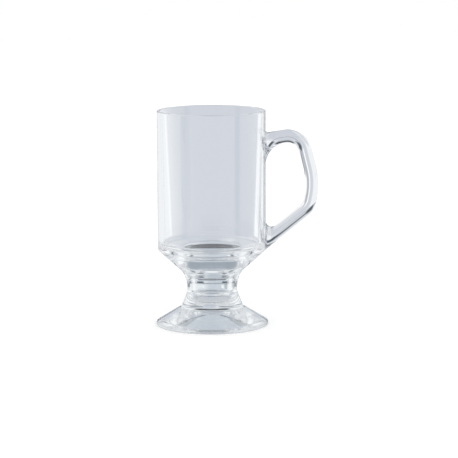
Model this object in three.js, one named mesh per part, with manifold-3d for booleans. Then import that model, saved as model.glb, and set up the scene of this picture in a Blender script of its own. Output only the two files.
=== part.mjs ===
// A footed glass mug: a straight-sided bowl that funnels into a short hollow stem on a spreading
// foot, with a strap handle from below the rim down to the heel of the bowl.
//
// Millimetres, +Z up. The pieces are modelled round the mug's own upright axis, with the table at
// height 0 and the handle towards +X. At the end the mug is moved along X, so that the origin is
// on the table at the middle of the space that the mug takes up.

import * as THREE from 'three';
import { mergeVertices } from 'three/addons/utils/BufferGeometryUtils.js';
import Module from 'manifold-3d';

// Overall sizes
const MUG_HEIGHT = 145;
const BOWL_DIAMETER = 73;
const FOOT_DIAMETER = 75.6;

// Bowl: the wall thickens downwards, by the draft that lets the plunger out of the glass
const RIM_WALL = 2.0;
const RIM_ROUND = 0.9;
const HEEL_WALL = 3.2;
const HEEL_HEIGHT = 50.9;
const HEEL_ROUND = 2.0;
const NECK_HEIGHT = 34.4;
const NECK_DIAMETER = 36.6;
const NECK_ROUND = 15;

// Inside of the bowl: a floor that ends in a well, and a step from the well into the stem
const FLOOR_RISE = 2.9;
const FLOOR_ROUND = 4.0;
const LEDGE_DROP = 1.6;
const LEDGE_DIAMETER = 40;
const LEDGE_ROUND = 1.8;
const WELL_DEPTH = 9.7;
const WELL_DIAMETER = 37.6;
const WELL_ROUND = 2.5;
const STEP_DROP = 2.0;
const STEP_DIAMETER = 29;
const STEP_ROUND = 1.5;
const MOUTH_DROP = 3.0;
const MOUTH_ROUND = 3.0;

// Stem, and the hollow that carries the bowl's inside on into it
const STEM_TOP = 30;
const WAIST_HEIGHT = 23;
const WAIST_DIAMETER = 33.4;
const WAIST_ROUND = 9;
const HOLLOW_DIAMETER = 23.2;
const HOLLOW_DRAFT = 0.4;
const HOLLOW_FLOOR = 21.6;
const HOLLOW_FLOOR_ROUND = 3.0;

// Foot: a cone with a rounded edge, standing on a flat ring round a shallow recess
const FOOT_TOP = 14.5;
const CREASE_HEIGHT = 11.9;
const CREASE_DIAMETER = 42.4;
const CREASE_ROUND = 3.2;
const FOOT_EDGE_HEIGHT = 1.6;
const FOOT_EDGE_ROUND = 0.9;
const FOOT_BASE_ROUND = 0.7;
const RING_INNER_DIAMETER = 62;
const RECESS_DEPTH = 0.6;
const RECESS_ROUND = 0.5;

// Handle: a strap of constant thickness along a bent middle line, with flared roots
const STRAP_THICKNESS = 8.8;
const STRAP_DEPTH = 12;
const STRAP_SQUARENESS = 2.1;
const ARCH_HEIGHT = 128.9;
const ARCH_SPAN = 23.8;
const ARCH_RADIUS = 12.4;
const ARCH_RISE = 3.7;
const BULGE_HEIGHT = 96;
const BULGE_SPAN = 31.8;
const BULGE_RADIUS = 44;
const ELBOW_HEIGHT = 79.3;
const ELBOW_SPAN = 28.8;
const ELBOW_RADIUS = 13;
const ARM_DROP = 23.2;
const ROOT_DEPTH = 14;
const ROOT_FLARE = 8;
const UPPER_ROOT_TOP_ROUND = 1.5;
const UPPER_ROOT_UNDER_ROUND = 15;
const LOWER_ROOT_TOP_ROUND = 4;
const LOWER_ROOT_UNDER_ROUND = 1;
const ROOT_BITE = 0.3;
const UPPER_ROOT_RUN = 17;
const LOWER_ROOT_RUN = 13;
const ROOT_LIP = 2;
const ROOT_EMBED = 2.5;
const WELD_GAP = 0.3;

// Fineness of the facets
const TURN_STEPS = 64;
const ROUND_STEPS = 4;
const RAIL_ROUND_STEPS = 7;
const RAIL_LEG_STEPS = 3;
const SECTION_STEPS = 20;

const bowlRadius = BOWL_DIAMETER / 2;
const footRadius = FOOT_DIAMETER / 2;

const wasm = await Module();
wasm.setup();

// A path through corners [across, up, round]: each corner is rounded by an arc of its own radius,
// and the straight legs between the arcs are cut into legSteps.
function roundedPath(corners, arcSteps, legSteps = 1) {
  const last = corners.length - 1;
  const arcs = corners.map(([across, up, round], i) => {
    const corner = new THREE.Vector2(across, up);
    if (i === 0 || i === last || !round) return [corner];
    const back = new THREE.Vector2(...corners[i - 1]).sub(corner).normalize();
    const ahead = new THREE.Vector2(...corners[i + 1]).sub(corner).normalize();
    const half = Math.acos(THREE.MathUtils.clamp(back.dot(ahead), -1, 1)) / 2;
    const middle = back.clone().add(ahead).normalize();
    const centre = corner.clone().addScaledVector(middle, round / Math.sin(half));
    const start = corner.clone().addScaledVector(back, round / Math.tan(half)).sub(centre);
    const end = corner.clone().addScaledVector(ahead, round / Math.tan(half)).sub(centre);
    const sweep = Math.atan2(start.cross(end), start.dot(end));
    const origin = new THREE.Vector2();
    return Array.from({ length: arcSteps + 1 }, (_, k) =>
      start.clone().rotateAround(origin, (sweep * k) / arcSteps).add(centre));
  });
  const path = [...arcs[0]];
  for (const arc of arcs.slice(1)) {
    const from = path.at(-1);
    for (let k = 1; k < legSteps; k += 1) path.push(from.clone().lerp(arc[0], k / legSteps));
    path.push(...arc);
  }
  return path;
}

// The stretch of a descending profile between two heights, with points added where it is cut.
function between(profile, high, low) {
  const kept = [];
  profile.forEach((point, i) => {
    const above = profile[i - 1] ?? point;
    for (const height of [high, low]) {
      const share = (above.y - height) / (above.y - point.y);
      if (above.y > height && point.y < height) kept.push(above.clone().lerp(point, share));
    }
    if (point.y <= high && point.y >= low) kept.push(point.clone());
  });
  return kept;
}

// Only positions are kept, so that corners shared by faces become one vertex.
function welded(geometry) {
  geometry.deleteAttribute('normal');
  geometry.deleteAttribute('uv');
  return mergeVertices(geometry, 1e-4);
}

// A profile of (radius, height) points, going down the outside, turned round the upright axis.
function turned(profile) {
  const upwards = [...profile].reverse();
  return welded(new THREE.LatheGeometry(upwards, TURN_STEPS).rotateX(Math.PI / 2));
}

function toSolid(geometry) {
  const mesh = new wasm.Mesh({
    numProp: 3,
    vertProperties: new Float32Array(geometry.attributes.position.array),
    triVerts: new Uint32Array(geometry.index.array),
  });
  return new wasm.Manifold(mesh);
}

function toGeometry(solid) {
  const { vertProperties, triVerts } = solid.getMesh();
  const geometry = new THREE.BufferGeometry();
  geometry.setAttribute('position', new THREE.BufferAttribute(vertProperties, 3));
  geometry.setIndex(new THREE.BufferAttribute(triVerts, 1));
  return geometry;
}

// The outside of the whole mug, from the rim down to the edge of the foot.
const outside = roundedPath([
  [bowlRadius - RIM_WALL / 2, MUG_HEIGHT, 0],
  [bowlRadius, MUG_HEIGHT, RIM_ROUND],
  [bowlRadius, HEEL_HEIGHT, HEEL_ROUND],
  [NECK_DIAMETER / 2, NECK_HEIGHT, NECK_ROUND],
  [WAIST_DIAMETER / 2, WAIST_HEIGHT, WAIST_ROUND],
  [CREASE_DIAMETER / 2, CREASE_HEIGHT, CREASE_ROUND],
  [footRadius, FOOT_EDGE_HEIGHT, FOOT_EDGE_ROUND],
  [footRadius, 0, FOOT_BASE_ROUND],
  [RING_INNER_DIAMETER / 2, 0, 0],
], ROUND_STEPS);

// The inside that holds the drink, from the rim down to the floor of the hollow in the stem.
const floorHeight = HEEL_HEIGHT + FLOOR_RISE;
const ledgeHeight = floorHeight - LEDGE_DROP;
const wellHeight = ledgeHeight - WELL_DEPTH;
const stepHeight = wellHeight - STEP_DROP;
const inside = roundedPath([
  [bowlRadius - RIM_WALL / 2, MUG_HEIGHT, 0],
  [bowlRadius - RIM_WALL, MUG_HEIGHT, RIM_ROUND],
  [bowlRadius - HEEL_WALL, floorHeight, FLOOR_ROUND],
  [LEDGE_DIAMETER / 2, ledgeHeight, LEDGE_ROUND],
  [WELL_DIAMETER / 2, wellHeight, WELL_ROUND],
  [STEP_DIAMETER / 2, stepHeight, STEP_ROUND],
  [HOLLOW_DIAMETER / 2, stepHeight - MOUTH_DROP, MOUTH_ROUND],
  [HOLLOW_DIAMETER / 2 - HOLLOW_DRAFT, HOLLOW_FLOOR, HOLLOW_FLOOR_ROUND],
  [0, HOLLOW_FLOOR, 0],
], ROUND_STEPS);

// The bowl: a wall between outside and inside, cut off level at the top of the stem.
function bowl() {
  const outer = between(outside, MUG_HEIGHT, STEM_TOP);
  const inner = between(inside, MUG_HEIGHT, STEM_TOP);
  return turned([...outer, ...inner.reverse()]);
}

// The stem: a waisted column, solid below and hollow above, where the bowl opens into it.
function stem() {
  const outer = between(outside, STEM_TOP, FOOT_TOP);
  const hollow = between(inside, STEM_TOP, HOLLOW_FLOOR).reverse();
  return turned([...hollow, ...outer, new THREE.Vector2(0, FOOT_TOP)]);
}

// The foot: a solid cone under the stem, with a shallow recess below, inside its standing ring.
function foot() {
  const ringRadius = RING_INNER_DIAMETER / 2;
  const recess = roundedPath([
    [footRadius, 0, 0],
    [ringRadius, 0, RECESS_ROUND],
    [ringRadius - RECESS_DEPTH, RECESS_DEPTH, RECESS_ROUND],
    [0, RECESS_DEPTH, 0],
  ], ROUND_STEPS);
  const outer = between(outside, FOOT_TOP, 0).slice(0, -1);
  return turned([new THREE.Vector2(0, FOOT_TOP), ...outer, ...recess.slice(1)]);
}

// Where the line through two points meets an upright line.
function crossUpright(a, b, across) {
  return a.y + ((b.y - a.y) * (across - a.x)) / (b.x - a.x);
}

// Corner points moved sideways by a distance, keeping every leg parallel to itself.
function offsetCorners(corners, distance) {
  const legs = corners.slice(1).map((end, i) => end.clone().sub(corners[i]));
  const sides = legs.map((leg) => new THREE.Vector2(-leg.y, leg.x).normalize());
  return corners.map((corner, i) => {
    const before = sides[Math.max(i - 1, 0)];
    const after = sides[Math.min(i, sides.length - 1)];
    const mitre = before.clone().add(after).normalize();
    return corner.clone().addScaledVector(mitre, distance / mitre.dot(after));
  });
}

// The two edges of the strap in the XZ plane, from the upper root round to the lower one. They have
// the same number of points, so that a section of the strap spans from one to the other.
function handleEdges() {
  const wall = bowlRadius - ROOT_BITE;
  const half = STRAP_THICKNESS / 2;
  const middle = [
    new THREE.Vector2(bowlRadius, ARCH_HEIGHT - ARCH_RISE),
    new THREE.Vector2(bowlRadius + ARCH_SPAN, ARCH_HEIGHT),
    new THREE.Vector2(bowlRadius + BULGE_SPAN, BULGE_HEIGHT),
    new THREE.Vector2(bowlRadius + ELBOW_SPAN, ELBOW_HEIGHT),
    new THREE.Vector2(bowlRadius, ELBOW_HEIGHT - ARM_DROP),
  ];
  const edge = (side, topRound, topRun, lowRound, lowRun) => {
    const line = offsetCorners(middle, side * half);
    const top = crossUpright(line[0], line[1], wall);
    const low = crossUpright(line[3], line[4], wall);
    const corners = [
      [wall - ROOT_EMBED, top + topRun, 0],
      [wall, top + topRun, 0],
      [wall, top, topRound],
      [line[1].x, line[1].y, ARCH_RADIUS + side * half],
      [line[2].x, line[2].y, BULGE_RADIUS + side * half],
      [line[3].x, line[3].y, ELBOW_RADIUS + side * half],
      [wall, low, lowRound],
      [wall, low + lowRun, 0],
      [wall - ROOT_EMBED, low + lowRun, 0],
    ];
    return roundedPath(corners, RAIL_ROUND_STEPS, RAIL_LEG_STEPS);
  };
  return {
    outer: edge(1, UPPER_ROOT_TOP_ROUND, ROOT_LIP, LOWER_ROOT_UNDER_ROUND, ROOT_LIP),
    inner: edge(-1, UPPER_ROOT_UNDER_ROUND, -UPPER_ROOT_RUN, LOWER_ROOT_TOP_ROUND, LOWER_ROOT_RUN),
  };
}

// A closed loft of rounded sections, each spanning from one edge of the strap to the other. Near
// the roots they grow deeper and wrap round the bowl.
function strap({ outer, inner }) {
  const rings = outer.map((top, i) => {
    const under = inner[i];
    const centre = top.clone().add(under).multiplyScalar(0.5);
    const reach = top.clone().sub(under).multiplyScalar(0.5);
    const fromWall = THREE.MathUtils.clamp((centre.x - bowlRadius) / ROOT_FLARE, 0, 1);
    const flare = (1 - fromWall) ** 3;
    const depth = THREE.MathUtils.lerp(STRAP_DEPTH, ROOT_DEPTH, flare) / 2;
    return Array.from({ length: SECTION_STEPS }, (_, k) => {
      const angle = (2 * Math.PI * k) / SECTION_STEPS;
      const squared = (value) => Math.sign(value) * Math.abs(value) ** (2 / STRAP_SQUARENESS);
      const along = centre.clone().addScaledVector(reach, squared(Math.cos(angle)));
      const aside = depth * squared(Math.sin(angle));
      const wrap = flare * (bowlRadius - Math.sqrt(bowlRadius ** 2 - aside ** 2));
      return new THREE.Vector3(along.x - wrap, aside, along.y);
    });
  });
  const points = rings.flat();
  const faces = [];
  for (let i = 0; i + 1 < rings.length; i += 1) {
    for (let k = 0; k < SECTION_STEPS; k += 1) {
      const a = i * SECTION_STEPS + k;
      const b = i * SECTION_STEPS + ((k + 1) % SECTION_STEPS);
      faces.push(a, b + SECTION_STEPS, b, a, a + SECTION_STEPS, b + SECTION_STEPS);
    }
  }
  const end = (rings.length - 1) * SECTION_STEPS;
  for (let k = 1; k + 1 < SECTION_STEPS; k += 1) {
    faces.push(0, k, k + 1, end, end + k + 1, end + k);
  }
  const geometry = new THREE.BufferGeometry().setFromPoints(points);
  geometry.setIndex(faces);
  return mergeVertices(geometry, 1e-4);
}

// The handle: the strap, with its roots cut to the outside of the bowl.
function handle() {
  const clear = between(outside, MUG_HEIGHT, STEM_TOP)
    .map((point) => new THREE.Vector2(point.x + WELD_GAP, point.y));
  const core = turned([
    new THREE.Vector2(0, MUG_HEIGHT),
    ...clear,
    new THREE.Vector2(0, STEM_TOP),
  ]);
  return toGeometry(toSolid(strap(handleEdges())).subtract(toSolid(core)));
}

function glassPiece(name, geometry, tint) {
  const material = new THREE.MeshStandardMaterial({
    color: tint,
    roughness: 0.04,
    metalness: 0,
    transparent: true,
    opacity: 0.35,
  });
  const mesh = new THREE.Mesh(geometry, material);
  mesh.name = name;
  return mesh;
}

const mug = new THREE.Group();
mug.add(
  glassPiece('bowl', bowl(), 0xd3d8de),
  glassPiece('stem', stem(), 0xd0d6dc),
  glassPiece('foot', foot(), 0xc6cdd2),
  glassPiece('handle', handle(), 0xd2dade),
);

// The origin goes under the middle of the mug's box.
const box = new THREE.Box3().setFromObject(mug);
mug.position.x = -(box.min.x + box.max.x) / 2;

export default mug;
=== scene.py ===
"""A footed glass mug with a strap handle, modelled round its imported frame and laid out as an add-on."""

import math

import bmesh
import bpy
from mathutils import Matrix, Vector


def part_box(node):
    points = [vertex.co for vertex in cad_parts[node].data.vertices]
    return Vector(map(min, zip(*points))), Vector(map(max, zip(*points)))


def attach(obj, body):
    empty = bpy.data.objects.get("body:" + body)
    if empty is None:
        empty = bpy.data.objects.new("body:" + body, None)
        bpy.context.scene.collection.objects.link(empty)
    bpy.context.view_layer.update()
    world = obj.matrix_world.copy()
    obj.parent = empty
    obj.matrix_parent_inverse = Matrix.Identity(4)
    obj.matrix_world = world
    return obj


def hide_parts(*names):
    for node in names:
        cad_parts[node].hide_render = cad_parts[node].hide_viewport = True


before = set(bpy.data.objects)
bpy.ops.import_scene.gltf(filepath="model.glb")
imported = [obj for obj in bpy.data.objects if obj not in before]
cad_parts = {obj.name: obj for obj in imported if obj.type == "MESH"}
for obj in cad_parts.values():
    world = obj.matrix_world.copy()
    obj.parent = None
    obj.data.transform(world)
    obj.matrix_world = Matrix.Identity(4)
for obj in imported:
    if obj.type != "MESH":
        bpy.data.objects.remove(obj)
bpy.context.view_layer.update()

bl_info = {
    "name": "Footed Glass Mug",
    "version": (1, 0, 0),
    "blender": (4, 5, 0),
    "location": "3D View > Sidebar > Glass Mug",
    "description": "Models a footed glass mug with a strap handle, and the studio it stands in",
    "category": "Object",
}

MM = 0.001
BOWL_LOW, BOWL_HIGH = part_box("bowl")
FOOT_LOW, FOOT_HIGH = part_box("foot")
AXIS_X = (BOWL_LOW.x + BOWL_HIGH.x) / 2

# Fineness of the meshes
TURN_STEPS = 192
ARC_STEPS = 20
LEG_EASE = 0.3 * MM
SHORTEST_EASED_LEG = 3 * LEG_EASE
RAIL_ARC_STEPS = 18
RAIL_LEG_STEPS = 6
SECTION_STEPS = 64
CAP_RINGS = 5
SHARP_EDGE = math.radians(35)
MERGE_DISTANCE = 1e-7
LEVEL_NORMAL = 0.999

# How steeply the handle's roots widen towards the bowl
FLARE_POWER = 3

# The glass and its surface
GLASS_IOR = 1.52
THICK_TO = 40 * MM
THIN_FROM = 60 * MM
MOULD_WAVE = 22 * MM
WAVE_HEIGHT = 0.02 * MM
WAVE_DETAIL = 1.0
WAVE_ROUGHNESS = 0.4
SCUFF_HEIGHT = 0.25 * MM
SCUFF_GRAIN = 0.4 * MM
SCUFF_DETAIL = 3.0
SCUFF_ROUGHNESS = 0.15

# The paper floor
FLOOR_RADIUS = 3.0
FLOOR_SEGMENTS = 96
FLOOR_GAP = 0.02 * MM
FLOOR_GLOW = 0.25
PAPER_GRAIN = 2.5 * MM
PAPER_DETAIL = 4.0
PAPER_RELIEF = 0.02 * MM
PAPER_ROUGHNESS = 0.9

# The camera: its place in metres, its turns in degrees, and its focal length in pixels of the picture
PICTURE_SIDE = 458
CAMERA_PLACE = (AXIS_X, -1.340, 0.277)
CAMERA_YAW = -0.495
CAMERA_PITCH = 9.013
CAMERA_ROLL = 0.25
FOCAL_LENGTH = 2013
SENSOR_WIDTH = 36

# Light that runs round inside the wall takes many turns before it comes out again
LIGHT_BOUNCES = 128

# The colour sockets of a Mix node
MIX_FROM = 6
MIX_TO = 7
MIX_RESULT = 2

WHITE = (1, 1, 1, 1)

# The azimuths of a panel that goes all the way round, and some more
ALL_ROUND = (-200, 200)

# Panels of the studio that show in the glass, each painted over those before it: on how many sides
# it stands, its azimuths and their fades, its elevations and their fades, all in degrees from the mug
PANELS = (
    ("horizon", 3, (-35, 35), (15, 15), (-2, 17), (2, 2)),
    ("table", 4, (-18, 18), (9, 9), (-60, -15), (3, 3)),
    ("card", 1, (-7, 9), (1, 1), (-60, 17), (2, 2)),
    ("shade", 3, (-1, 8), (6, 2), (-60, 17), (2, 2)),
    ("nadir", 1, ALL_ROUND, (1, 1), (-95, -58), (8, 8)),
    ("zenith", 1, ALL_ROUND, (1, 1), (56, 95), (6, 6)),
    ("loft", 4, (-26, 26), (10, 10), (30, 48), (2, 4)),
    ("gap", 4, (-17, 17), (7, 7), (22, 30), (5, 1)),
    ("slat", 1, (-14, 14), (8, 8), (16.6, 18.6), (0.8, 0.8)),
    ("panel", 1, (18, 27), (5, 4), (-15, -2), (2, 2)),
    ("wing", 1, (-42, -10), (4, 2), (-15, -2), (2, 2)),
    ("line", 1, ALL_ROUND, (1, 1), (-0.3, 0.3), (0.7, 0.7)),
    ("flag", 1, (-24, -10), (3, 3), (1, 8), (1, 2)),
    ("flag", 1, (12, 26), (3, 3), (1, 8), (1, 2)),
)


def size(label, description, default):
    """A length that shows in the sidebar, in metres."""
    return bpy.props.FloatProperty(
        name=label, description=description, default=default, min=0.0,
        unit="LENGTH", subtype="DISTANCE", precision=5,
    )


def tint(label, description, shade):
    """A colour that shows in the sidebar, given as an sRGB hex value."""
    return bpy.props.FloatVectorProperty(
        name=label, description=description, default=linear(shade), min=0.0, max=1.0,
        size=3, subtype="COLOR",
    )


def linear(shade):
    """The linear colour of an sRGB hex value."""
    channels = (int(shade[i:i + 2], 16) / 255 for i in (1, 3, 5))
    return tuple(c / 12.92 if c <= 0.04045 else ((c + 0.055) / 1.055) ** 2.4 for c in channels)


class BowlSizes(bpy.types.PropertyGroup):
    """The straight bowl, its funnel, and the stepped inside that narrows into the stem."""

    radius: size("Radius", "Outside radius of the bowl", (BOWL_HIGH.y - BOWL_LOW.y) / 2)
    rim_height: size("Rim height", "Table to rim", BOWL_HIGH.z)
    rim_wall: size("Rim wall", "Thickness of the wall at the rim", 2.0 * MM)
    rim_round: size("Rim round", "Fire-polished round of the rim", 0.9 * MM)
    heel_height: size("Heel height", "Where the straight side ends", 50.9 * MM)
    heel_wall: size("Heel wall", "Thickness of the wall at the heel", 3.2 * MM)
    heel_round: size("Heel round", "Outside round of the heel", 2.0 * MM)
    neck_height: size("Neck height", "Where the funnel ends", 34.4 * MM)
    neck_radius: size("Neck radius", "Outside radius where the funnel ends", 18.3 * MM)
    neck_round: size("Neck round", "Outside round between funnel and stem", 15.0 * MM)
    floor_height: size("Floor height", "Height of the bowl's floor at the wall", 53.8 * MM)
    floor_round: size("Floor round", "Inside round at the foot of the wall", 4.0 * MM)
    ledge_height: size("Ledge height", "Height of the floor's inner edge", 52.2 * MM)
    ledge_radius: size("Ledge radius", "Radius of the floor's inner edge", 20.0 * MM)
    ledge_round: size("Ledge round", "Round of the floor's inner edge", 1.8 * MM)
    well_height: size("Well height", "Foot of the well below the floor", 42.5 * MM)
    well_radius: size("Well radius", "Radius at the foot of the well", 18.8 * MM)
    well_round: size("Well round", "Inside round at the foot of the well", 2.5 * MM)
    step_height: size("Step height", "Height of the step below the well", 40.5 * MM)
    step_radius: size("Step radius", "Radius of the step below the well", 14.5 * MM)
    step_round: size("Step round", "Round of the step's edge", 1.5 * MM)


class StemSizes(bpy.types.PropertyGroup):
    """The short waisted stem and the hollow in it."""

    top: size("Top", "Level where the stem joins the bowl", BOWL_LOW.z)
    waist_height: size("Waist height", "Height of the slimmest place", 23.0 * MM)
    waist_radius: size("Waist radius", "Radius at the slimmest place", 16.7 * MM)
    waist_round: size("Waist round", "Round of the waist", 9.0 * MM)
    mouth_height: size("Mouth height", "Where the hollow opens into the bowl", 37.5 * MM)
    mouth_radius: size("Mouth radius", "Radius of the hollow at its mouth", 11.6 * MM)
    mouth_round: size("Mouth round", "Round of the hollow's mouth", 3.0 * MM)
    hollow_floor: size("Hollow floor", "Height of the hollow's floor", 21.6 * MM)
    hollow_radius: size("Hollow radius", "Radius of the hollow at its floor", 11.2 * MM)
    hollow_round: size("Hollow round", "Round of the hollow's floor", 3.0 * MM)


class FootSizes(bpy.types.PropertyGroup):
    """The spreading foot, which stands on a flat ring round a domed recess."""

    top: size("Top", "Level where the foot joins the stem", FOOT_HIGH.z)
    radius: size("Radius", "Outside radius of the foot", (FOOT_HIGH.y - FOOT_LOW.y) / 2)
    crease_height: size("Crease height", "Where stem and foot meet", 11.9 * MM)
    crease_radius: size("Crease radius", "Radius where stem and foot meet", 21.2 * MM)
    crease_round: size("Crease round", "Round of the crease", 3.2 * MM)
    edge_height: size("Edge height", "Height of the foot's upright edge", 1.6 * MM)
    edge_round: size("Edge round", "Upper round of the foot's edge", 0.9 * MM)
    base_round: size("Base round", "Lower round of the foot's edge", 0.7 * MM)
    ring_radius: size("Ring radius", "Inner radius of the standing ring", 31.0 * MM)
    recess_depth: size("Recess depth", "Depth of the recess inside the ring", 0.6 * MM)
    recess_round: size("Recess round", "Round of the recess's edges", 0.5 * MM)
    dome_rise: size("Dome rise", "How far the recess's roof rises to the middle", 8.6 * MM)
    dome_radius: size("Dome radius", "Radius where the slope of the roof ends", 10.0 * MM)
    dome_round: size("Dome round", "Round between the slope and the top of the roof", 36.0 * MM)


class HandleSizes(bpy.types.PropertyGroup):
    """The strap handle: a flat strap along a bent middle line, with flared roots."""

    thickness: size("Thickness", "Strap from its finger side to its outer side", 8.8 * MM)
    depth: size("Depth", "Strap from side to side", 12.0 * MM)
    squareness: bpy.props.FloatProperty(
        name="Squareness", description="2 makes the strap's section an ellipse, more makes it squarer",
        default=2.1, min=1.5, max=6.0,
    )
    arch_height: size("Arch height", "Height of the upper bend", 128.9 * MM)
    arch_span: size("Arch span", "Reach of the upper bend from the bowl", 23.8 * MM)
    arch_radius: size("Arch radius", "Radius of the upper bend", 12.4 * MM)
    arch_rise: size("Arch rise", "Rise from the upper root to the upper bend", 3.7 * MM)
    bulge_height: size("Bulge height", "Height of the outermost place", 96.0 * MM)
    bulge_span: size("Bulge span", "Reach of the outermost place", 31.8 * MM)
    bulge_radius: size("Bulge radius", "Radius of the outermost bend", 44.0 * MM)
    elbow_height: size("Elbow height", "Height of the lower bend", 79.3 * MM)
    elbow_span: size("Elbow span", "Reach of the lower bend", 28.8 * MM)
    elbow_radius: size("Elbow radius", "Radius of the lower bend", 13.0 * MM)
    arm_drop: size("Arm drop", "Drop from the elbow to the lower root", 23.2 * MM)
    root_depth: size("Root depth", "Side-to-side width of the flared roots", 14.0 * MM)
    root_flare: size("Root flare", "Length over which the roots widen", 8.0 * MM)
    root_lip: size("Root lip", "How far the outer edge runs on along the bowl", 2.0 * MM)
    upper_run: size("Upper run", "How far the upper root runs down the bowl", 17.0 * MM)
    lower_run: size("Lower run", "How far the lower root runs up the bowl", 13.0 * MM)
    upper_top_round: size("Upper top round", "Fillet above the upper root", 1.5 * MM)
    upper_under_round: size("Upper under round", "Fillet below the upper root", 15.0 * MM)
    lower_top_round: size("Lower top round", "Fillet above the lower root", 4.0 * MM)
    lower_under_round: size("Lower under round", "Fillet below the lower root", 1.0 * MM)
    weld: size("Weld", "How deep the roots are fused into the bowl's wall", 0.08 * MM)


class StageSettings(bpy.types.PropertyGroup):
    """The glass's tint, and the cards and openings of the studio that show in the glass."""

    glass: tint("Glass", "Colour that the thin wall of the bowl lets through", "#fdfeff")
    thick_glass: tint("Thick glass", "Colour that the glass below the bowl lets through", "#f9fcfd")
    paper: tint("Paper", "Colour of the paper floor", "#f6f6f6")
    horizon: tint("Horizon", "The backdrop above the table", "#d2d6dd")
    table: tint("Table", "The table behind the mug", "#dadce0")
    card: tint("Card", "The pale card behind the mug", "#e4e7ea")
    shade: tint("Shade", "The darker middle of the card", "#cdd1d9")
    nadir: tint("Nadir", "The table below the mug", "#979ea6")
    zenith: tint("Zenith", "The top of the tent", "#b4b7be")
    loft: tint("Loft", "The upper edge of the backdrop", "#c6cad0")
    gap: tint("Gap", "The dark opening above the backdrop", "#0c1217")
    panel: tint("Panel", "The grey panel on the right", "#b0b5bb")
    wing: tint("Wing", "The pale panel on the left", "#f2f4f6")
    line: tint("Line", "The far edge of the table", "#59626b")
    flag: tint("Flag", "The dark flags beside the card", "#38424a")
    slat: tint("Slat", "A slat across the backdrop", "#98a1a9")


def rounded_path(corners, arc_steps, cut_leg):
    """A path through corners (across, up, round), each rounded by its own arc."""
    arcs = []
    last = len(corners) - 1
    for i, (across, up, radius) in enumerate(corners):
        corner = Vector((across, up))
        if not radius or i in (0, last):
            arcs.append([corner])
            continue
        back = (Vector(corners[i - 1][:2]) - corner).normalized()
        ahead = (Vector(corners[i + 1][:2]) - corner).normalized()
        half = back.angle(ahead) / 2
        centre = corner + (back + ahead).normalized() * radius / math.sin(half)
        start = corner + back * radius / math.tan(half) - centre
        end = corner + ahead * radius / math.tan(half) - centre
        sweep = math.atan2(start.cross(end), start.dot(end))
        turns = (Matrix.Rotation(sweep * k / arc_steps, 2) for k in range(arc_steps + 1))
        arcs.append([centre + way @ start for way in turns])
    path = list(arcs[0])
    for arc in arcs[1:]:
        path += cut_leg(path[-1], arc[0]) + arc
    return path


def eased_leg(start, end):
    """Cuts close to a straight leg's ends, which keep its shading flat up to the rounds."""
    length = (end - start).length
    if length < SHORTEST_EASED_LEG:
        return []
    share = LEG_EASE / length
    return [start.lerp(end, share), start.lerp(end, 1 - share)]


def even_leg(start, end):
    """Even cuts along a straight leg."""
    return [start.lerp(end, k / RAIL_LEG_STEPS) for k in range(1, RAIL_LEG_STEPS)]


def stretch(profile, high, low):
    """The part of a descending profile between two levels, with points where it is cut."""
    kept = []
    for above, point in zip(profile[:1] + profile[:-1], profile):
        for level in (high, low):
            if above.y > level > point.y:
                kept.append(above.lerp(point, (above.y - level) / (above.y - point.y)))
        if low <= point.y <= high:
            kept.append(point)
    return kept


def outside_profile(sizes):
    """The outside of the mug as (radius, height), from the rim down to the recess below."""
    bowl, stem, foot = sizes.bowl, sizes.stem, sizes.foot
    corners = [
        (bowl.radius - bowl.rim_wall / 2, bowl.rim_height, 0),
        (bowl.radius, bowl.rim_height, bowl.rim_round),
        (bowl.radius, bowl.heel_height, bowl.heel_round),
        (bowl.neck_radius, bowl.neck_height, bowl.neck_round),
        (stem.waist_radius, stem.waist_height, stem.waist_round),
        (foot.crease_radius, foot.crease_height, foot.crease_round),
        (foot.radius, foot.edge_height, foot.edge_round),
        (foot.radius, 0, foot.base_round),
        (foot.ring_radius, 0, 0),
    ]
    return rounded_path(corners, ARC_STEPS, eased_leg)


def inside_profile(sizes):
    """The inside that holds the drink, from the rim down to the floor of the hollow stem."""
    bowl, stem = sizes.bowl, sizes.stem
    corners = [
        (bowl.radius - bowl.rim_wall / 2, bowl.rim_height, 0),
        (bowl.radius - bowl.rim_wall, bowl.rim_height, bowl.rim_round),
        (bowl.radius - bowl.heel_wall, bowl.floor_height, bowl.floor_round),
        (bowl.ledge_radius, bowl.ledge_height, bowl.ledge_round),
        (bowl.well_radius, bowl.well_height, bowl.well_round),
        (bowl.step_radius, bowl.step_height, bowl.step_round),
        (stem.mouth_radius, stem.mouth_height, stem.mouth_round),
        (stem.hollow_radius, stem.hollow_floor, stem.hollow_round),
        (0, stem.hollow_floor, 0),
    ]
    return rounded_path(corners, ARC_STEPS, eased_leg)


def recess_profile(foot):
    """The domed recess in the underside, from the standing ring to the middle."""
    top = foot.recess_depth + foot.dome_rise
    corners = [
        (foot.radius, 0, 0),
        (foot.ring_radius, 0, foot.recess_round),
        (foot.ring_radius - foot.recess_depth, foot.recess_depth, foot.recess_round),
        (foot.dome_radius, top, foot.dome_round),
        (0, top, 0),
    ]
    return rounded_path(corners, ARC_STEPS, eased_leg)[1:]


def turned(profile, closed):
    """A profile turned about the mug's upright axis."""
    bm = bmesh.new()
    verts = [bm.verts.new((AXIS_X + point.x, 0, point.y)) for point in profile]
    ahead = verts[1:] + verts[:1] if closed else verts[1:]
    edges = [bm.edges.new(pair) for pair in zip(verts, ahead)]
    bmesh.ops.spin(
        bm, geom=verts + edges, cent=(AXIS_X, 0, 0), axis=(0, 0, 1),
        angle=2 * math.pi, steps=TURN_STEPS, use_merge=True,
    )
    return bm


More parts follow.
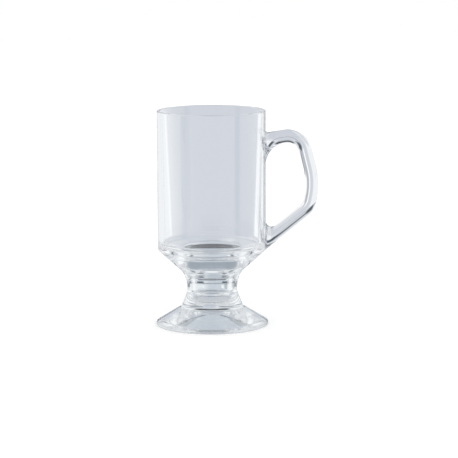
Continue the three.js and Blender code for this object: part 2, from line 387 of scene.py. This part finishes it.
def offset_corners(corners, distance):
    """Corners moved sideways, with every leg parallel to what it was."""
    legs = [(b - a).normalized() for a, b in zip(corners, corners[1:])]
    sides = [Vector((-leg.y, leg.x)) for leg in legs]
    moved = []
    for corner, before, after in zip(corners, sides[:1] + sides, sides + sides[-1:]):
        mitre = (before + after).normalized()
        moved.append(corner + mitre * distance / mitre.dot(after))
    return moved


def strap_edge(bowl, handle, side):
    """One edge of the strap as (across, up): its outer side is 1 and its finger side is -1."""
    wall = bowl.radius - handle.weld
    middle = [
        Vector((bowl.radius, handle.arch_height - handle.arch_rise)),
        Vector((bowl.radius + handle.arch_span, handle.arch_height)),
        Vector((bowl.radius + handle.bulge_span, handle.bulge_height)),
        Vector((bowl.radius + handle.elbow_span, handle.elbow_height)),
        Vector((bowl.radius, handle.elbow_height - handle.arm_drop)),
    ]
    bends = [handle.arch_radius, handle.bulge_radius, handle.elbow_radius]
    half = side * handle.thickness / 2
    line = offset_corners(middle, half)
    top = line[0].lerp(line[1], (wall - line[0].x) / (line[1].x - line[0].x)).y
    low = line[4].lerp(line[3], (wall - line[4].x) / (line[3].x - line[4].x)).y
    if side > 0:
        rounds = handle.upper_top_round, handle.lower_under_round
        ends = top + handle.root_lip, low - handle.root_lip
    else:
        rounds = handle.upper_under_round, handle.lower_top_round
        ends = top - handle.upper_run, low + handle.lower_run
    corners = [
        (wall, ends[0], 0),
        (wall, top, rounds[0]),
        *((*corner, bend + half) for corner, bend in zip(line[1:4], bends)),
        (wall, low, rounds[1]),
        (wall, ends[1], 0),
    ]
    return rounded_path(corners, RAIL_ARC_STEPS, even_leg)


def strap_section(handle, half, depth):
    """The strap's outline across its run: an oval, a little squarer than an ellipse."""
    power = 2 / handle.squareness
    outline = []
    for k in range(SECTION_STEPS):
        turn = 2 * math.pi * k / SECTION_STEPS
        along, aside = math.cos(turn), math.sin(turn)
        outline.append((
            half * math.copysign(abs(along) ** power, along),
            depth * math.copysign(abs(aside) ** power, aside),
        ))
    return outline


def strap_rings(bowl, handle):
    """The rings of points along the strap, and at each end the smaller rings that close it."""
    outer = strap_edge(bowl, handle, 1)
    inner = strap_edge(bowl, handle, -1)
    shares = [k / CAP_RINGS for k in range(CAP_RINGS)]
    stations = [(outer[0], inner[0], share) for share in shares]
    stations += [(top, under, 1) for top, under in zip(outer, inner)]
    stations += [(outer[-1], inner[-1], share) for share in reversed(shares)]
    rings = []
    for top, under, share in stations:
        centre = (top + under) / 2
        reach = (top - under) / 2
        from_wall = min(max((centre.x - bowl.radius) / handle.root_flare, 0), 1)
        flare = (1 - from_wall) ** FLARE_POWER
        depth = (handle.depth + (handle.root_depth - handle.depth) * flare) / 2
        ring = []
        for along, aside in strap_section(handle, reach.length, depth):
            place = centre + reach.normalized() * along * share
            aside *= share
            wrap = flare * (bowl.radius - math.sqrt(bowl.radius ** 2 - aside ** 2))
            ring.append(Vector((AXIS_X + place.x - wrap, aside, place.y)))
        rings.append(ring)
    return rings


def lofted(rings):
    """A tube extruded ring by ring, whose corners are then set on the rings."""
    bm = bmesh.new()
    count = len(rings[0])
    circle = bmesh.ops.create_circle(bm, cap_ends=False, segments=count, radius=1)
    edges = list({edge for vert in circle["verts"] for edge in vert.link_edges})
    for _ in rings[1:]:
        made = bmesh.ops.extrude_edge_only(bm, edges=edges)["geom"]
        verts = [item for item in made if isinstance(item, bmesh.types.BMVert)]
        bmesh.ops.translate(bm, verts=verts, vec=(0, 0, 1))
        edges = [item for item in made if isinstance(item, bmesh.types.BMEdge)
                 and all(vert in verts for vert in item.verts)]
    for vert in bm.verts:
        turned_by = math.atan2(vert.co.y, vert.co.x) / (2 * math.pi)
        vert.co = rings[round(vert.co.z)][round(turned_by * count) % count]
    return bm


def add_piece(bm, name, materials, joints=()):
    """Makes the mesh a shown piece in place of the CAD node of that name."""
    bmesh.ops.remove_doubles(bm, verts=bm.verts, dist=MERGE_DISTANCE)
    bmesh.ops.dissolve_degenerate(bm, edges=bm.edges, dist=MERGE_DISTANCE)
    bmesh.ops.recalc_face_normals(bm, faces=bm.faces)
    for face in bm.faces:
        face.smooth = True
        level = face.calc_center_median().z
        flat = abs(face.normal.z) > LEVEL_NORMAL
        at_joint = any(abs(level - joint) < MERGE_DISTANCE for joint in joints)
        face.material_index = int(flat and at_joint)
    mesh = bpy.data.meshes.new(name + "_glass")
    bm.to_mesh(mesh)
    bm.free()
    mesh.set_sharp_from_angle(angle=SHARP_EDGE)
    for material in materials:
        mesh.materials.append(material)
    piece = bpy.data.objects.new(name + "_glass", mesh)
    bpy.context.scene.collection.objects.link(piece)
    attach(piece, "root")
    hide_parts(name)
    return piece


def add_node(tree, kind, inputs=None, **settings):
    """Adds a node with its settings, and sets or links its inputs."""
    node = tree.nodes.new(kind)
    for name, value in settings.items():
        setattr(node, name, value)
    for key, value in (inputs or {}).items():
        if isinstance(value, bpy.types.NodeSocket):
            tree.links.new(value, node.inputs[key])
        else:
            node.inputs[key].default_value = value
    return node


def pressed_glass(studio):
    """Pressed soda-lime glass, fire-polished: clear and smooth, with a faint blue where it is thick,
    long low waves from the mould, and a scuffed look where it stands on the table."""
    material = bpy.data.materials.new("pressed_soda_lime_glass")
    material.use_nodes = True
    tree = material.node_tree
    place = add_node(tree, "ShaderNodeTexCoord").outputs["Object"]
    # The plunger and mould chill the skin unevenly, which bends what shows in the glass a little
    waves = add_node(tree, "ShaderNodeTexNoise", {
        "Vector": place, "Scale": 1 / MOULD_WAVE, "Detail": WAVE_DETAIL, "Roughness": WAVE_ROUGHNESS,
    })
    skin = add_node(tree, "ShaderNodeBump", {
        "Height": waves.outputs["Fac"], "Strength": 1.0, "Distance": WAVE_HEIGHT,
    })
    # The iron in the sand shows as a faint blue in the thick glass below the bowl's floor
    level = add_node(tree, "ShaderNodeSeparateXYZ", {0: place}).outputs["Z"]
    thinning = add_node(tree, "ShaderNodeMapRange", {
        "Value": level, "From Min": THICK_TO, "From Max": THIN_FROM,
    }, interpolation_type="SMOOTHSTEP")
    colour = add_node(tree, "ShaderNodeMix", {
        "Factor": thinning.outputs[0],
        MIX_FROM: (*studio.thick_glass, 1), MIX_TO: (*studio.glass, 1),
    }, data_type="RGBA")
    # Fine scratches from shelves and tables dull the standing ring, and nothing above it
    grit = add_node(tree, "ShaderNodeTexNoise", {
        "Vector": place, "Scale": 1 / SCUFF_GRAIN, "Detail": SCUFF_DETAIL,
    })
    ring = add_node(tree, "ShaderNodeMapRange", {
        "Value": level, "From Min": SCUFF_HEIGHT, "From Max": 0.0,
        "To Min": 0.0, "To Max": SCUFF_ROUGHNESS,
    })
    scuffs = add_node(tree, "ShaderNodeMath", {
        0: ring.outputs[0], 1: grit.outputs["Fac"],
    }, operation="MULTIPLY")
    shader = tree.nodes["Principled BSDF"]
    shader.inputs["IOR"].default_value = GLASS_IOR
    shader.inputs["Transmission Weight"].default_value = 1.0
    tree.links.new(colour.outputs[MIX_RESULT], shader.inputs["Base Color"])
    tree.links.new(scuffs.outputs[0], shader.inputs["Roughness"])
    tree.links.new(skin.outputs[0], shader.inputs["Normal"])
    return material


def fused_joint():
    """Where two gathers of hot glass have run into one there is no surface left, so nothing shows."""
    material = bpy.data.materials.new("fused_glass_joint")
    material.use_nodes = True
    shader = material.node_tree.nodes["Principled BSDF"]
    shader.inputs["Alpha"].default_value = 0.0
    return material


def white_paper(studio):
    """A sheet of matt white paper. Its fibres are drawn as wide as they need to be to show."""
    material = bpy.data.materials.new("matt_white_paper")
    material.use_nodes = True
    tree = material.node_tree
    place = add_node(tree, "ShaderNodeTexCoord").outputs["Object"]
    fibres = add_node(tree, "ShaderNodeTexNoise", {
        "Vector": place, "Scale": 1 / PAPER_GRAIN, "Detail": PAPER_DETAIL,
    })
    felt = add_node(tree, "ShaderNodeBump", {
        "Height": fibres.outputs["Fac"], "Strength": 1.0, "Distance": PAPER_RELIEF,
    })
    shader = tree.nodes["Principled BSDF"]
    shader.inputs["Base Color"].default_value = (*studio.paper, 1)
    shader.inputs["Roughness"].default_value = PAPER_ROUGHNESS
    tree.links.new(felt.outputs[0], shader.inputs["Normal"])
    # A little light of its own takes the paper to white for the camera, and lights nothing else
    path = add_node(tree, "ShaderNodeLightPath")
    glow = add_node(tree, "ShaderNodeEmission", {"Color": WHITE, "Strength": FLOOR_GLOW})
    both = add_node(tree, "ShaderNodeAddShader", {0: shader.outputs[0], 1: glow.outputs[0]})
    seen = add_node(tree, "ShaderNodeMixShader", {
        "Fac": path.outputs["Is Camera Ray"], 1: shader.outputs[0], 2: both.outputs[0],
    })
    tree.links.new(seen.outputs[0], tree.nodes["Material Output"].inputs["Surface"])
    return material


def paper_floor(studio):
    """The paper that the mug stands on. What shows in the glass comes from the tent instead."""
    bm = bmesh.new()
    bmesh.ops.create_circle(bm, cap_ends=True, segments=FLOOR_SEGMENTS, radius=FLOOR_RADIUS)
    mesh = bpy.data.meshes.new("floor")
    bm.to_mesh(mesh)
    bm.free()
    mesh.materials.append(white_paper(studio))
    floor = bpy.data.objects.new("floor", mesh)
    floor.location.z = -FLOOR_GAP
    floor.visible_glossy = False
    floor.visible_transmission = False
    bpy.context.scene.collection.objects.link(floor)


def strip(tree, angle, limits, fades):
    """1 between two angles in degrees, falling to 0 over a fade outside each of them."""
    low, high = (math.radians(limit) for limit in limits)
    low_fade, high_fade = (math.radians(fade) for fade in fades)
    sides = []
    for start, end in ((low - low_fade, low), (high + high_fade, high)):
        side = add_node(tree, "ShaderNodeMapRange", {
            "Value": angle, "From Min": start, "From Max": end,
        }, interpolation_type="SMOOTHSTEP")
        sides.append(side.outputs[0])
    both = add_node(tree, "ShaderNodeMath", {0: sides[0], 1: sides[1]}, operation="MULTIPLY")
    return both.outputs[0]


def studio_world(studio):
    """A white tent. Glass alone shows the panels that stand in it, and all else sees it plain."""
    world = bpy.data.worlds.new("white_tent")
    world.use_nodes = True
    tree = world.node_tree
    tree.nodes.clear()
    way = add_node(tree, "ShaderNodeTexCoord").outputs["Generated"]
    parts = add_node(tree, "ShaderNodeSeparateXYZ", {0: way})
    around = add_node(tree, "ShaderNodeMath", {
        0: parts.outputs["X"], 1: parts.outputs["Y"],
    }, operation="ARCTAN2")
    height = add_node(tree, "ShaderNodeMath", {0: parts.outputs["Z"]}, operation="ARCSINE")
    tent = WHITE
    for name, sides, across, across_fades, tall, tall_fades in PANELS:
        half = math.pi / sides
        azimuth = add_node(tree, "ShaderNodeMath", {
            0: around.outputs[0], 1: half, 2: -half,
        }, operation="WRAP")
        place = add_node(tree, "ShaderNodeMath", {
            0: strip(tree, azimuth.outputs[0], across, across_fades),
            1: strip(tree, height.outputs[0], tall, tall_fades),
        }, operation="MULTIPLY")
        tent = add_node(tree, "ShaderNodeMix", {
            "Factor": place.outputs[0], MIX_FROM: tent, MIX_TO: (*getattr(studio, name), 1),
        }, data_type="RGBA").outputs[MIX_RESULT]
    inside = add_node(tree, "ShaderNodeBackground", {"Color": tent, "Strength": 1.0})
    white = add_node(tree, "ShaderNodeBackground", {"Color": WHITE, "Strength": 1.0})
    path = add_node(tree, "ShaderNodeLightPath")
    in_glass = add_node(tree, "ShaderNodeMath", {
        0: path.outputs["Is Glossy Ray"], 1: path.outputs["Is Transmission Ray"],
    }, operation="MAXIMUM")
    seen = add_node(tree, "ShaderNodeMixShader", {
        "Fac": in_glass.outputs[0], 1: white.outputs[0], 2: inside.outputs[0],
    })
    add_node(tree, "ShaderNodeOutputWorld", {"Surface": seen.outputs[0]})
    return world


def glass():
    """The glass and the fused joint, made once and shared by the pieces."""
    found = [bpy.data.materials.get(name) for name in ("pressed_soda_lime_glass", "fused_glass_joint")]
    if None in found:
        found = [pressed_glass(bpy.context.scene.mug.stage), fused_joint()]
    return found


class MugSettings(bpy.types.PropertyGroup):
    """All that a user would change."""

    bowl: bpy.props.PointerProperty(type=BowlSizes)
    stem: bpy.props.PointerProperty(type=StemSizes)
    foot: bpy.props.PointerProperty(type=FootSizes)
    handle: bpy.props.PointerProperty(type=HandleSizes)
    stage: bpy.props.PointerProperty(type=StageSettings)


class MUG_OT_bowl(bpy.types.Operator):
    """Turn the bowl with its stepped inside"""

    bl_idname = "mug.bowl"
    bl_label = "Bowl"

    def execute(self, context):
        sizes = context.scene.mug
        level = sizes.stem.top
        outer = stretch(outside_profile(sizes), sizes.bowl.rim_height, level)
        inner = stretch(inside_profile(sizes), sizes.bowl.rim_height, level)
        add_piece(turned(outer + inner[:0:-1], closed=True), "bowl", glass(), [level])
        return {"FINISHED"}


class MUG_OT_stem(bpy.types.Operator):
    """Turn the short stem with the hollow in it"""

    bl_idname = "mug.stem"
    bl_label = "Stem"

    def execute(self, context):
        sizes = context.scene.mug
        top, foot = sizes.stem.top, sizes.foot.top
        outer = stretch(outside_profile(sizes), top, foot)
        hollow = stretch(inside_profile(sizes), top, sizes.stem.hollow_floor)
        profile = hollow[::-1] + outer + [Vector((0, foot))]
        add_piece(turned(profile, closed=False), "stem", glass(), [top, foot])
        return {"FINISHED"}


class MUG_OT_foot(bpy.types.Operator):
    """Turn the spreading foot with the domed recess below it"""

    bl_idname = "mug.foot"
    bl_label = "Foot"

    def execute(self, context):
        sizes = context.scene.mug
        level = sizes.foot.top
        outer = stretch(outside_profile(sizes), level, 0)[:-1]
        profile = [Vector((0, level))] + outer + recess_profile(sizes.foot)
        add_piece(turned(profile, closed=False), "foot", glass(), [level])
        return {"FINISHED"}


class MUG_OT_handle(bpy.types.Operator):
    """Loft the strap handle with its flared roots"""

    bl_idname = "mug.handle"
    bl_label = "Handle"

    def execute(self, context):
        sizes = context.scene.mug
        add_piece(lofted(strap_rings(sizes.bowl, sizes.handle)), "handle", glass()[:1])
        return {"FINISHED"}


class MUG_OT_stage(bpy.types.Operator):
    """Set the paper floor, the white tent and the camera"""

    bl_idname = "mug.stage"
    bl_label = "Stage"

    def execute(self, context):
        scene = context.scene
        paper_floor(scene.mug.stage)
        scene.world = studio_world(scene.mug.stage)
        data = bpy.data.cameras.new("camera")
        data.sensor_width = SENSOR_WIDTH
        data.lens = SENSOR_WIDTH * FOCAL_LENGTH / PICTURE_SIDE
        camera = bpy.data.objects.new("camera", data)
        scene.collection.objects.link(camera)
        camera.matrix_world = (
            Matrix.Translation(CAMERA_PLACE)
            @ Matrix.Rotation(math.radians(CAMERA_YAW), 4, "Z")
            @ Matrix.Rotation(math.radians(90 - CAMERA_PITCH), 4, "X")
            @ Matrix.Rotation(math.radians(-CAMERA_ROLL), 4, "Z")
        )
        scene.camera = camera
        scene.view_settings.view_transform = "Standard"
        scene.cycles.max_bounces = LIGHT_BOUNCES
        scene.cycles.glossy_bounces = LIGHT_BOUNCES
        scene.cycles.transmission_bounces = LIGHT_BOUNCES
        scene.cycles.transparent_max_bounces = LIGHT_BOUNCES
        return {"FINISHED"}


class MUG_PT_sidebar(bpy.types.Panel):
    """The mug's pieces and sizes in the 3D view's sidebar"""

    bl_idname = "MUG_PT_sidebar"
    bl_label = "Glass Mug"
    bl_space_type = "VIEW_3D"
    bl_region_type = "UI"
    bl_category = "Glass Mug"

    def draw(self, context):
        settings = context.scene.mug
        for part in ("bowl", "stem", "foot", "handle", "stage"):
            box = self.layout.box()
            box.operator("mug." + part)
            group = getattr(settings, part)
            for name in group.__annotations__:
                box.prop(group, name)


CLASSES = (
    BowlSizes, StemSizes, FootSizes, HandleSizes, StageSettings, MugSettings,
    MUG_OT_bowl, MUG_OT_stem, MUG_OT_foot, MUG_OT_handle, MUG_OT_stage, MUG_PT_sidebar,
)


def register():
    for cls in CLASSES:
        bpy.utils.register_class(cls)
    bpy.types.Scene.mug = bpy.props.PointerProperty(type=MugSettings)


def unregister():
    del bpy.types.Scene.mug
    for cls in reversed(CLASSES):
        bpy.utils.unregister_class(cls)


def main():
    register()
    bpy.ops.mug.bowl()
    bpy.ops.mug.stem()
    bpy.ops.mug.foot()
    bpy.ops.mug.handle()
    bpy.ops.mug.stage()


if __name__ == "__main__":
    main()
